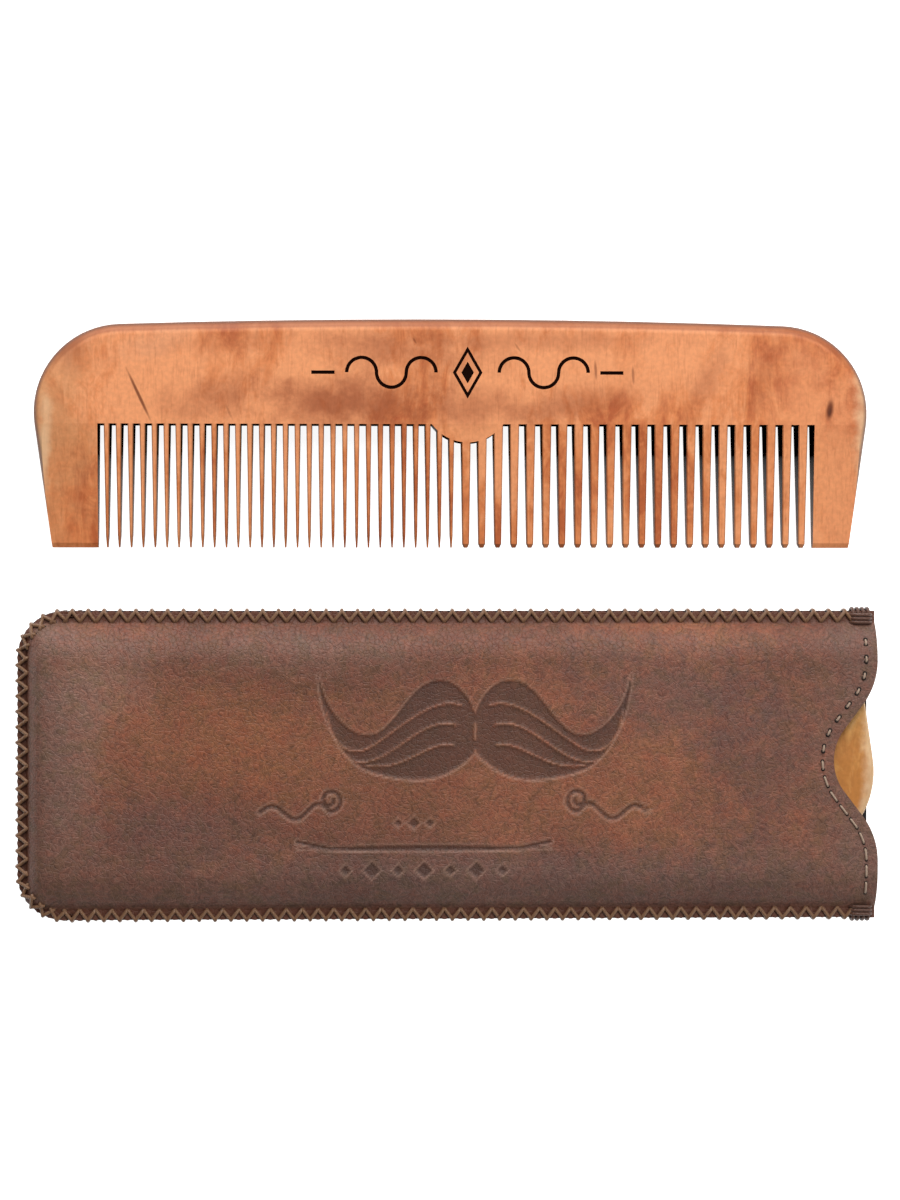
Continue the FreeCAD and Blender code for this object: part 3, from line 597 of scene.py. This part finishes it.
# Black polyester taffeta: dull, with a weave of about a third of a millimetre.
def makeLiningFabric():
    material, tree = newMaterial("black taffeta")
    place = objectPlace(tree)
    warp, weft = [addNode(tree, "ShaderNodeTexWave", {
        "bands_direction": axis, "Scale": 950.0, "Vector": place}).outputs["Fac"] for axis in ("X", "Y")]
    weave = calc(tree, "MULTIPLY", warp, weft)
    colour = ramp(tree, weave, [(0.0, linear("#0E0C0C")), (1.0, linear("#242021"))])
    finishSurface(tree, colour, weave, 0.5, 0.0001, {"Roughness": 0.75, "Sheen Weight": 0.2})
    return material


def dress(node, material):
    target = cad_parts[node]
    target.data.materials.clear()
    target.data.materials.append(material)


liningFabric = makeLiningFabric()
for node in ("front_lining", "back_lining"):
    dress(node, liningFabric)
print("lining done")


def addStrand(curve, points, radius):
    spline = curve.splines.new("NURBS")
    spline.points.add(len(points) - 1)
    for target, point in zip(spline.points, points):
        target.co = (point.x * mm, point.y * mm, point.z * mm, 1.0)
        target.radius = radius * mm
    spline.order_u = 3
    spline.use_endpoint_u = True


def newStrands(name):
    curve = bpy.data.curves.new(name, "CURVE")
    curve.dimensions = "3D"
    curve.bevel_depth = 1.0
    curve.bevel_resolution = 2
    curve.resolution_u = 4
    curve.use_fill_caps = True
    return curve


def finishStrands(name, curve, material, replaced):
    holder = bpy.data.objects.new(name + "Curve", curve)
    mesh = bpy.data.meshes.new_from_object(holder)
    bpy.data.objects.remove(holder)
    mesh.name = name
    return addPiece(name, mesh, "sleeve", material, replaced)


def seamPoint(x, y, outward, inside, height):
    # a point beside the edge point (x, y), counted inwards from the edge and up from the seam
    return Vector((x - outward.x * inside, y - outward.y * inside + sleeve["middle"],
                   sleeve["seam"] + height))


def addHook(curve, edgePlace, outward, along, lean, holes):
    # one leg of the zigzag: out of its hole, over the edge and back in underneath
    radius = thread["radius"]
    flange = sleeve["flange"]
    x, y = edgePlace
    jitter = noise.noise(Vector((x * 0.7, y * 0.7, lean))) * thread["wobble"]
    shift = along * (lean * thread["pitch"] / 2 + jitter)
    hole = (x + shift.x, y + shift.y)
    middle = (x + shift.x / 2, y + shift.y / 2)
    reach = thread["reach"]
    holeTop = leatherTop(hole[0] - outward.x * reach, hole[1] - outward.y * reach)
    midTop = leatherTop(middle[0] - outward.x * reach / 2, middle[1] - outward.y * reach / 2)
    points = [
        seamPoint(*hole, outward, reach + 0.1, holeTop - 0.5),
        seamPoint(*hole, outward, reach - 0.1, holeTop + radius * 0.9),
        seamPoint(*middle, outward, reach / 2, midTop + radius * 1.1),
        seamPoint(x, y, outward, 0.1, flange + radius * 0.9),
        seamPoint(x, y, outward, -radius * thread["over"], flange * 0.6),
        seamPoint(x, y, outward, -radius * thread["over"], -flange * 0.6),
        seamPoint(x, y, outward, 0.1, -flange - radius * 0.9),
        seamPoint(*middle, outward, reach / 2, -midTop - radius * 1.1),
        seamPoint(*hole, outward, reach - 0.1, -holeTop - radius * 0.9),
        seamPoint(*hole, outward, reach + 0.1, -holeTop + 0.5),
    ]
    addStrand(curve, points, radius)
    holes.append((seamPoint(*hole, outward, reach + 0.15, holeTop), thread["hole"]))


# Waxed brown polyester thread, three plies twisted, lighter in bands along the plies and in patches: partly
# the thread's own uneven colour, partly painted highlights.
def makeThread(name, dark, light):
    material, tree = newMaterial(name)
    place = objectPlace(tree)
    ply = addNode(tree, "ShaderNodeTexWave", {
        "Scale": 520.0, "Distortion": 1.0, "Detail": 2.0,
        "Vector": moved(tree, place, Rotation=(0.6, 0.4, 0.8))}).outputs["Fac"]
    fuzz = noiseIn(tree, place, 700.0, 3.0)
    rubbedAndGlint = noiseIn(tree, place, 420.0)
    twist = calc(tree, "MULTIPLY_ADD", ply, 0.4, fuzz)
    blend = calc(tree, "MULTIPLY_ADD", rubbedAndGlint, 1.3, twist, clamp=True)
    blend = calc(tree, "SUBTRACT", blend, 0.55)
    colour = ramp(tree, blend, [(0.20, linear(dark)), (0.85, linear(light))])
    finishSurface(tree, colour, ply, 0.6, 0.0001, {"Roughness": 0.5, "Sheen Weight": 0.15})
    return material


edgeThread = makeThread("waxed brown thread", "#4E2F1C", "#A67A54")
tackThread = makeThread("waxed dark thread", "#42261B", "#70452F")
mouthThread = makeThread("waxed beige thread", "#8A705D", "#CBB39C")


def endStations():
    # round the closed end: top corner, straight and bottom corner, each as an edge place, the outward
    # direction and the direction along the edge
    radius = sleeve["corner"]
    straight = sleeve["halfHeight"] - radius
    stations = []
    corner = cornerCount()
    for number in range(corner):
        angle = math.pi / 2 + (number + 0.5) * math.pi / 2 / corner
        stations.append((angle, straight))
    rows = endRows()
    for number in range(rows):
        stations.append((None, straight - (number + 0.5) * 2 * straight / rows))
    for number in range(corner):
        angle = math.pi + (number + 0.5) * math.pi / 2 / corner
        stations.append((angle, -straight))
    places = []
    for angle, height in stations:
        if angle is None:
            places.append(((sleeve["left"], height), Vector((-1, 0, 0)), Vector((0, -1, 0))))
            continue
        outward = Vector((math.cos(angle), math.sin(angle), 0))
        edge = (sleeve["left"] + radius + outward.x * radius, height + outward.y * radius)
        places.append((edge, outward, Vector((-outward.y, outward.x, 0))))
    return places


holes = []
for name, node, side in (("topZigzag", "top_edge_stitches", 1),
                         ("bottomZigzag", "bottom_edge_stitches", -1)):
    strands = newStrands(name)
    for x in straightStations():
        edge = (x, side * sleeve["halfHeight"])
        for lean in (-1, 1):
            addHook(strands, edge, Vector((0, side, 0)), Vector((1, 0, 0)), lean, holes)
    finishStrands(name, strands, edgeThread, [node])

strands = newStrands("endZigzag")
for edge, outward, along in endStations():
    for lean in (-1, 1):
        addHook(strands, edge, outward, along, lean, holes)
finishStrands("endZigzag", strands, edgeThread, ["closed_end_stitches"])


def makeTack(name, node, side):
    # a few tight turns over the edge with two bars across them
    strands = newStrands(name)
    half = sleeve["halfHeight"]
    outward = Vector((0, side, 0))
    radius = thread["radius"]
    start = sleeve["right"] - thread["tackInset"] - (thread["tackTurns"] - 1) * thread["tackPitch"]
    flange = sleeve["flange"]
    for number in range(thread["tackTurns"]):
        x = start + number * thread["tackPitch"] - thread["tackShift"]
        y = side * half
        over = [(thread["reach"] + 0.5, flange - 0.4), (thread["reach"] + 0.2, flange + radius),
                (1.2, flange + radius), (0.1, flange + radius), (-radius * 1.3, flange * 0.6)]
        points = over + [(inside, -height) for inside, height in reversed(over)]
        addStrand(strands, [seamPoint(x, y, outward, *point) for point in points], radius)
    end = start + (thread["tackTurns"] - 1) * thread["tackPitch"]
    height = flange + radius * thread["barLift"]
    sunk = height - thread["barSunk"]
    bar = [(start - 1.2, sunk), (start - 0.9, height), ((start + end) / 2, height + 0.1),
           (end - 0.3, height), (end, sunk)]
    for inside in thread["tackBars"]:
        points = [seamPoint(x, side * half, outward, inside, level) for x, level in bar]
        addStrand(strands, points, radius)
    finishStrands(name, strands, tackThread, [node])


makeTack("mouthTackTop", "mouth_tack_top", 1)
makeTack("mouthTackBottom", "mouth_tack_bottom", -1)


# The running stitch along the mouth, in millimetres apart from shortest and growth, which are shares of
# a stitch. Its stitches are short in the upper half and long in the lower half, where holes are smaller.
mouthRow = {
    "inset": 2.5, "pitch": 3.6, "stitch": 2.1, "radius": 0.24, "fromEdges": 5.0, "steps": 600,
    "sunk": -0.5, "rim": 0.12, "crown": 0.26, "turn": 0.05,
    "growOver": 16, "shortest": 0.52, "growth": 0.62, "hole": 0.50, "holeLess": 0.14,
}


def mouthRoute():
    # places along the running stitch, with how far along it each one lies
    top = sleeve["halfHeight"] - mouthRow["fromEdges"]
    line = []
    for step in range(mouthRow["steps"] + 1):
        y = top - 2 * top * step / mouthRow["steps"]
        line.append(Vector((mouthEdge(y, mouthRow["inset"]), y, 0)))
    lengths = np.cumsum([0] + [(b - a).length for a, b in zip(line, line[1:])])
    return np.array([tuple(p) for p in line]), lengths


route, lengths = mouthRoute()
stitchCount = round(lengths[-1] / mouthRow["pitch"])
strands = newStrands("mouthRunningStitch")
for number in range(stitchCount):
    middle = (number + 0.5) * lengths[-1] / stitchCount
    points = []
    low = smooth(0.5 - float(np.interp(middle, lengths, route[:, 1])) / mouthRow["growOver"])
    half = mouthRow["stitch"] / 2 * (mouthRow["shortest"] + mouthRow["growth"] * low)
    turn = half - mouthRow["turn"]
    for off, lift in ((-half, mouthRow["sunk"]), (-turn, mouthRow["rim"]), (-half / 2, mouthRow["crown"]),
                      (half / 2, mouthRow["crown"]), (turn, mouthRow["rim"]), (half, mouthRow["sunk"])):
        x, y = (float(np.interp(middle + off, lengths, route[:, axis])) for axis in (0, 1))
        surface = sleeve["seam"] + leatherTop(x, y)
        points.append(Vector((x, y + sleeve["middle"], surface + lift)))
        if abs(off) == half:
            hole = Vector((x, y + sleeve["middle"], surface))
            holes.append((hole, mouthRow["hole"] - mouthRow["holeLess"] * low))
    addStrand(strands, points, mouthRow["radius"])
finishStrands("mouthRunningStitch", strands, mouthThread, ["mouth_stitches"])


def makeHoles():
    # the awl's holes, as dark plugs of painted shade sunk in the leather beside each thread
    bm = bmesh.new()
    for hole, radius in holes:
        bmesh.ops.create_cone(bm, cap_ends=True, segments=thread["holeSides"], radius1=radius * mm,
                              radius2=radius * mm, depth=thread["holeDepth"] * mm,
                              matrix=Matrix.Translation(hole * mm))
    mesh = bpy.data.meshes.new("awlHoles")
    bm.to_mesh(mesh)
    bm.free()
    material, tree = newMaterial("dark inside of a hole")
    holeShade = noiseIn(tree, objectPlace(tree), 2000.0)
    colour = ramp(tree, holeShade, [(0.3, linear("#150C08")), (0.8, linear("#2A1810"))])
    shader = addNode(tree, "ShaderNodeBsdfPrincipled", {"Roughness": 0.9, "Base Color": colour})
    addNode(tree, "ShaderNodeOutputMaterial", {"Surface": shader.outputs[0]})
    addPiece("awlHoles", mesh, "sleeve", material)


makeHoles()
print("thread done")


# Peach wood, sanded and oiled: fine straight fibres, soft cross figure, painted shade on the faces between
# the teeth, and painted shading with highlights on the rounded rim.
oiledWood = {
    "dark": "#B85F34", "main": "#D9824D", "light": "#EC9B68", "fibre": "#95481F", "charAndShade": "#1A0C08",
    "rimShading": "#9A5838", "rimHighlight": "#DE9C74", "rim": "#67391F", "knot": "#6B2F14", "bevelHighlight": "#F2D3A8",
    "stain": "#8E3F1C", "leftEndShade": "#C79062", "gapShadeStrength": 1.0,
}
# The same wood before oiling: pale yellow tan.
paleWood = {
    "dark": "#B8783A", "main": "#D09551", "light": "#E4B376", "fibre": "#A8683A", "charAndShade": "#1A0C08",
    "rimShading": "#E2BF96", "rimHighlight": "#F0D8B8", "rim": "#CFA26C", "bevelHighlight": "#F7DDB6", "stain": "#A66A38",
    "gapShadeStrength": 0.6,
}

# Marks counted in millimetres from the comb's middle and up from the tips: stains, knots and flecks in the
# wood, with painted shade over the left end and painted highlights and shade on the rim.
figureMarks = [(55.0, 36.0, 3.0, 11.0, -26, "stain", 0.35), (-20.0, 30.0, 20.0, 7.0, 0, "stain", 0.30)]
# painted highlights down both end bevels and painted shade at the top left corner of the rim
rimShadingMarks = [(89.4, 22.0, 2.4, 19.0, 3, "bevelHighlight", 0.62), (-87.6, 22.0, 1.7, 13.0, -3, "bevelHighlight", 0.45),
            (-82.0, 43.0, 5.0, 5.0, 40, "rimShading", 0.55)]
# the broad patch over the left end is painted shade and the light streak near the spine a painted
# highlight; the rest are the wood's own marks
woodMarks = [
    (-86.0, 26.0, 9.0, 26.0, 0, "leftEndShade", 0.60), (-60.0, 40.0, 22.0, 7.0, 4, "light", 0.45),
    (-22.0, 31.0, 22.0, 6.0, 0, "stain", 0.75), (-50.0, 32.0, 13.0, 5.0, 8, "stain", 0.45),
    (-10.0, 42.0, 22.0, 4.5, -4, "stain", 0.45), (26.0, 31.0, 18.0, 4.0, 8, "stain", 0.50),
    (4.0, 30.0, 12.0, 5.0, 0, "stain", 0.45), (-64.0, 44.0, 12.0, 3.0, 20, "rimHighlight", 0.35),
    (44.0, 39.0, 26.0, 8.0, 0, "light", 0.75), (76.0, 30.0, 9.0, 16.0, 0, "light", 0.65),
    (55.0, 36.0, 3.0, 11.0, -26, "stain", 0.35), (67.0, 36.0, 2.6, 9.0, -22, "stain", 0.28),
    (84.0, 12.0, 10.0, 26.0, 0, "light", 0.85), (10.0, 44.5, 40.0, 2.4, 0, "stain", 0.30),
    (-45.0, 44.0, 16.0, 2.6, 3, "stain", 0.25),
    (-67.4, 32.8, 0.42, 7.0, 25, "knot", 0.85), (81.5, 29.6, 1.0, 2.8, -8, "knot", 0.95),
    (81.5, 29.4, 0.36, 1.3, -8, "charAndShade", 0.45), (30.8, 38.2, 0.40, 2.4, 4, "knot", 0.60),
    (38.9, 37.2, 0.36, 2.2, 3, "knot", 0.50), (-8.2, 44.4, 0.30, 1.0, 30, "knot", 0.60),
    (14.0, 43.0, 0.30, 1.6, 35, "knot", 0.35), (-48.0, 29.0, 0.35, 2.2, 25, "knot", 0.30),
]
# In millimetres, up from the tips or to each side of the comb's middle.
combShape = {
    "toothLength": 26.5, "rootRoom": 0.3, "teethHalf": 79.5, "gulletsFrom": 10.0,
    "spineShadingStart": 8.0, "spineShadingFull": 16.0, "gapShadeLow": 2.0, "gapShadeHigh": 20.0,
    "engravingLow": 30.0, "engravingHigh": 45.5, "engravingLeft": -33.0, "engravingRight": 38.0,
    "grooveDepth": 0.3, "grooveLeast": 0.04, "grooveRoom": 0.05,
}


def makeWood(name, look, marks, low, high, up):
    # up is 1 for a comb whose spine lies towards +Y, -1 for one turned over
    material, tree = newMaterial(name)
    colours = {key: linear(value) for key, value in look.items() if key != "gapShadeStrength"}
    tipY = low.y if up > 0 else high.y
    middleX = (low.x + high.x) / 2
    local = moved(tree, objectPlace(tree), Location=(-middleX * mm, -tipY * up * mm, 0.0),
                  Scale=(1.0, up, 1.0))
    parts = addNode(tree, "ShaderNodeSeparateXYZ", {0: local}).outputs
    # soft patches, leaning across the comb
    leaning = moved(tree, local, Rotation=(0.0, 0.0, 0.5), Scale=(1.0, 0.45, 1.0))
    patch = noiseIn(tree, leaning, 75.0, 6.0, 0.6, 0.6)
    cloud = noiseIn(tree, local, 22.0)
    fleck = noiseIn(tree, leaning, 260.0, 3.0, 0.7, 1.2)
    mixed = calc(tree, "MULTIPLY_ADD", fleck, 0.45, patch)
    tone = calc(tree, "MULTIPLY_ADD", cloud, 0.5, mixed)
    tone = calc(tree, "MULTIPLY_ADD", tone, 2.0, -1.12)
    colour = ramp(tree, tone, [(0.50, colours["dark"]), (0.76, colours["main"]), (1.0, colours["light"])])
    # stains, a crack, a knot and short dark flecks, and on the oiled comb painted shade over the left end
    # and a painted highlight streak near the spine
    blur = noiseIn(tree, local, 150.0, 4.0, 0.65)
    colour = addMarks(tree, colour, local, blur, marks, colours)
    # fibres along the teeth, about a third of a millimetre apart
    fibre = noiseIn(tree, moved(tree, local, Scale=(1.0, 0.10, 1.0)), 2200.0, 3.0, 0.6)
    colour = paint(tree, spread(tree, fibre, 0.52, 0.78, 0.0, 0.32), colour, colours["fibre"])
    # pores, finer than half a millimetre
    pore = noiseIn(tree, local, 1100.0, 3.0)
    colour = shaded(tree, colour, spread(tree, pore, 0.35, 0.65, 0.94, 1.06))
    # painted shading on the rounded rim along the spine in the rim tones, with a painted highlight line
    # where the rounding meets the face
    normal = facing(tree)
    flat = calc(tree, "ABSOLUTE", normal["Z"])
    rimmed = spread(tree, flat, 0.999, 0.92)
    nearSpine = spread(tree, parts["Y"], (combShape["toothLength"] + combShape["spineShadingStart"]) * mm,
                       (combShape["toothLength"] + combShape["spineShadingFull"]) * mm)
    spineShading = calc(tree, "MULTIPLY", calc(tree, "MULTIPLY", rimmed, nearSpine), 0.70)
    rimColour = ramp(tree, flat, [
        (0.90, colours["rimShading"]), (0.96, colours["rimShading"]), (0.99, colours["rimHighlight"])])
    colour = paint(tree, spineShading, colour, rimColour)
    colour = addMarks(tree, colour, local, blur, rimShadingMarks, colours)
    # painted shade: the steep outer faces of the rim darken to a thin dark outline
    colour = paint(tree, spread(tree, flat, 0.84, 0.55, 0.0, 0.90), colour, colours["rim"])
    # painted shade between the teeth, deepest towards the roots: faces that look along the comb or down at
    # the tips
    sawn = spread(tree, calc(tree, "ABSOLUTE", normal["X"]), 0.72, 0.92)
    rootward = spread(tree, parts["Y"], combShape["gapShadeLow"] * mm, combShape["gapShadeHigh"] * mm, 0.55, 1.0)
    gullet = spread(tree, calc(tree, "MULTIPLY", normal["Y"], -up), 0.6, 0.8)
    aboveTips = calc(tree, "GREATER_THAN", parts["Y"], combShape["gulletsFrom"] * mm)
    side = calc(tree, "MULTIPLY", sawn, rootward)
    cut = calc(tree, "MAXIMUM", side, calc(tree, "MULTIPLY", gullet, aboveTips))
    amongTeeth = calc(tree, "LESS_THAN", calc(tree, "ABSOLUTE", parts["X"]), combShape["teethHalf"] * mm)
    belowRoot = calc(tree, "LESS_THAN", parts["Y"], (combShape["toothLength"] + combShape["rootRoom"]) * mm)
    gapShade = calc(tree, "MULTIPLY", cut, calc(tree, "MULTIPLY", amongTeeth, belowRoot))
    gapShade = calc(tree, "MULTIPLY", gapShade, look["gapShadeStrength"])
    colour = paint(tree, gapShade, colour, colours["charAndShade"])
    # burnt ornament: whatever lies below the face inside its frame
    faceZ = high.z if up > 0 else low.z
    sunk = calc(tree, "ABSOLUTE", calc(tree, "SUBTRACT", parts["Z"], faceZ * mm))
    deepEnough = calc(tree, "GREATER_THAN", sunk, combShape["grooveLeast"] * mm)
    notThrough = calc(tree, "LESS_THAN", sunk, (combShape["grooveDepth"] + combShape["grooveRoom"]) * mm)
    burn = calc(tree, "MULTIPLY", deepEnough, notThrough)
    for axis, least, most in (("X", combShape["engravingLeft"], combShape["engravingRight"]),
                              ("Y", combShape["engravingLow"], combShape["engravingHigh"])):
        for operation, bound in (("GREATER_THAN", least), ("LESS_THAN", most)):
            burn = calc(tree, "MULTIPLY", burn, calc(tree, operation, parts[axis], bound * mm))
    colour = paint(tree, burn, colour, colours["charAndShade"])
    # the burnt grooves and the painted shade between the teeth don't shine
    gloss = spread(tree, calc(tree, "MAXIMUM", burn, gapShade), 0.0, 1.0, 0.28, 0.0)
    finishSurface(tree, colour, fibre, 0.35, 0.00005, {
        "IOR": 1.5, "Specular IOR Level": gloss, "Roughness": spread(tree, patch, 0.0, 1.0, 0.40, 0.56)})
    return material


dress("bare_comb", makeWood("oiled peach wood", oiledWood, woodMarks, combLow, combHigh, 1))
dress("sleeved_comb", makeWood("pale peach wood", paleWood, figureMarks, heldLow, heldHigh, -1))
print("combs done")


def makeFloor():
    bm = bmesh.new()
    bmesh.ops.create_grid(bm, x_segments=1, y_segments=1, size=studio["floorHalf"])
    mesh = bpy.data.meshes.new("floor")
    bm.to_mesh(mesh)
    bm.free()
    floor = bpy.data.objects.new("floor", mesh)
    bpy.context.scene.collection.objects.link(floor)
    material, tree = newMaterial("white paper")
    ray = addNode(tree, "ShaderNodeLightPath", {}).outputs
    paper = addNode(tree, "ShaderNodeBsdfPrincipled", {"Base Color": linear("#F4F4F2"), "Roughness": 0.9})
    glow = addNode(tree, "ShaderNodeEmission", {"Color": linear("#FFFFFF"), "Strength": 0.92})
    seen = calc(tree, "MAXIMUM", ray["Is Camera Ray"], ray["Is Glossy Ray"])
    share = addNode(tree, "ShaderNodeMixShader", {0: seen, 2: glow.outputs[0]})
    both = addNode(tree, "ShaderNodeAddShader", {0: paper.outputs[0], 1: share.outputs[0]})
    addNode(tree, "ShaderNodeOutputMaterial", {"Surface": both.outputs[0]})
    mesh.materials.append(material)


def addLamp(name, place, size, power):
    lamp = bpy.data.lights.new(name, "AREA")
    lamp.shape = "SQUARE"
    lamp.size = size
    lamp.energy = power
    holder = bpy.data.objects.new(name, lamp)
    bpy.context.scene.collection.objects.link(holder)
    holder.location = place
    holder.rotation_euler = (-Vector(place)).to_track_quat("-Z", "Y").to_euler()


# In metres, with the sensor in millimetres: the camera looks down at a point a little above the floor,
# from slightly to one side. World is how strongly the surroundings light the set.
studio = {
    "distance": 0.60, "viewHeight": 0.2572, "offset": 0.0044, "centre": 0.0007, "level": 0.009,
    "aside": -0.022, "sensor": 36.0, "floorHalf": 8.0, "world": 0.22,
}

makeFloor()
addLamp("softboxKey", (0.10, 0.80, 1.00), 0.7, 10.2)
addLamp("softboxFar", (-0.25, 1.15, 0.42), 0.7, 8.0)
addLamp("softboxRight", (0.85, -0.35, 0.80), 0.6, 4.0)
world = bpy.data.worlds.new("studio")
bpy.context.scene.world = world
world.use_nodes = True
world.node_tree.nodes["Background"].inputs["Color"].default_value = linear("#FFFFFF")
world.node_tree.nodes["Background"].inputs["Strength"].default_value = studio["world"]

cameraData = bpy.data.cameras.new("camera")
cameraData.sensor_width = studio["sensor"]
cameraData.lens = studio["sensor"] * studio["distance"] / studio["viewHeight"]
cameraData.clip_start = 0.01
camera = bpy.data.objects.new("camera", cameraData)
bpy.context.scene.collection.objects.link(camera)
target = Vector((studio["centre"], studio["offset"], studio["level"]))
camera.location = target + Vector((studio["aside"], 0.0, studio["distance"]))
camera.rotation_euler = (0.0, math.atan2(studio["aside"], studio["distance"]), 0.0)
bpy.context.scene.camera = camera
bpy.context.scene.view_settings.view_transform = "Standard"
print("stage done")
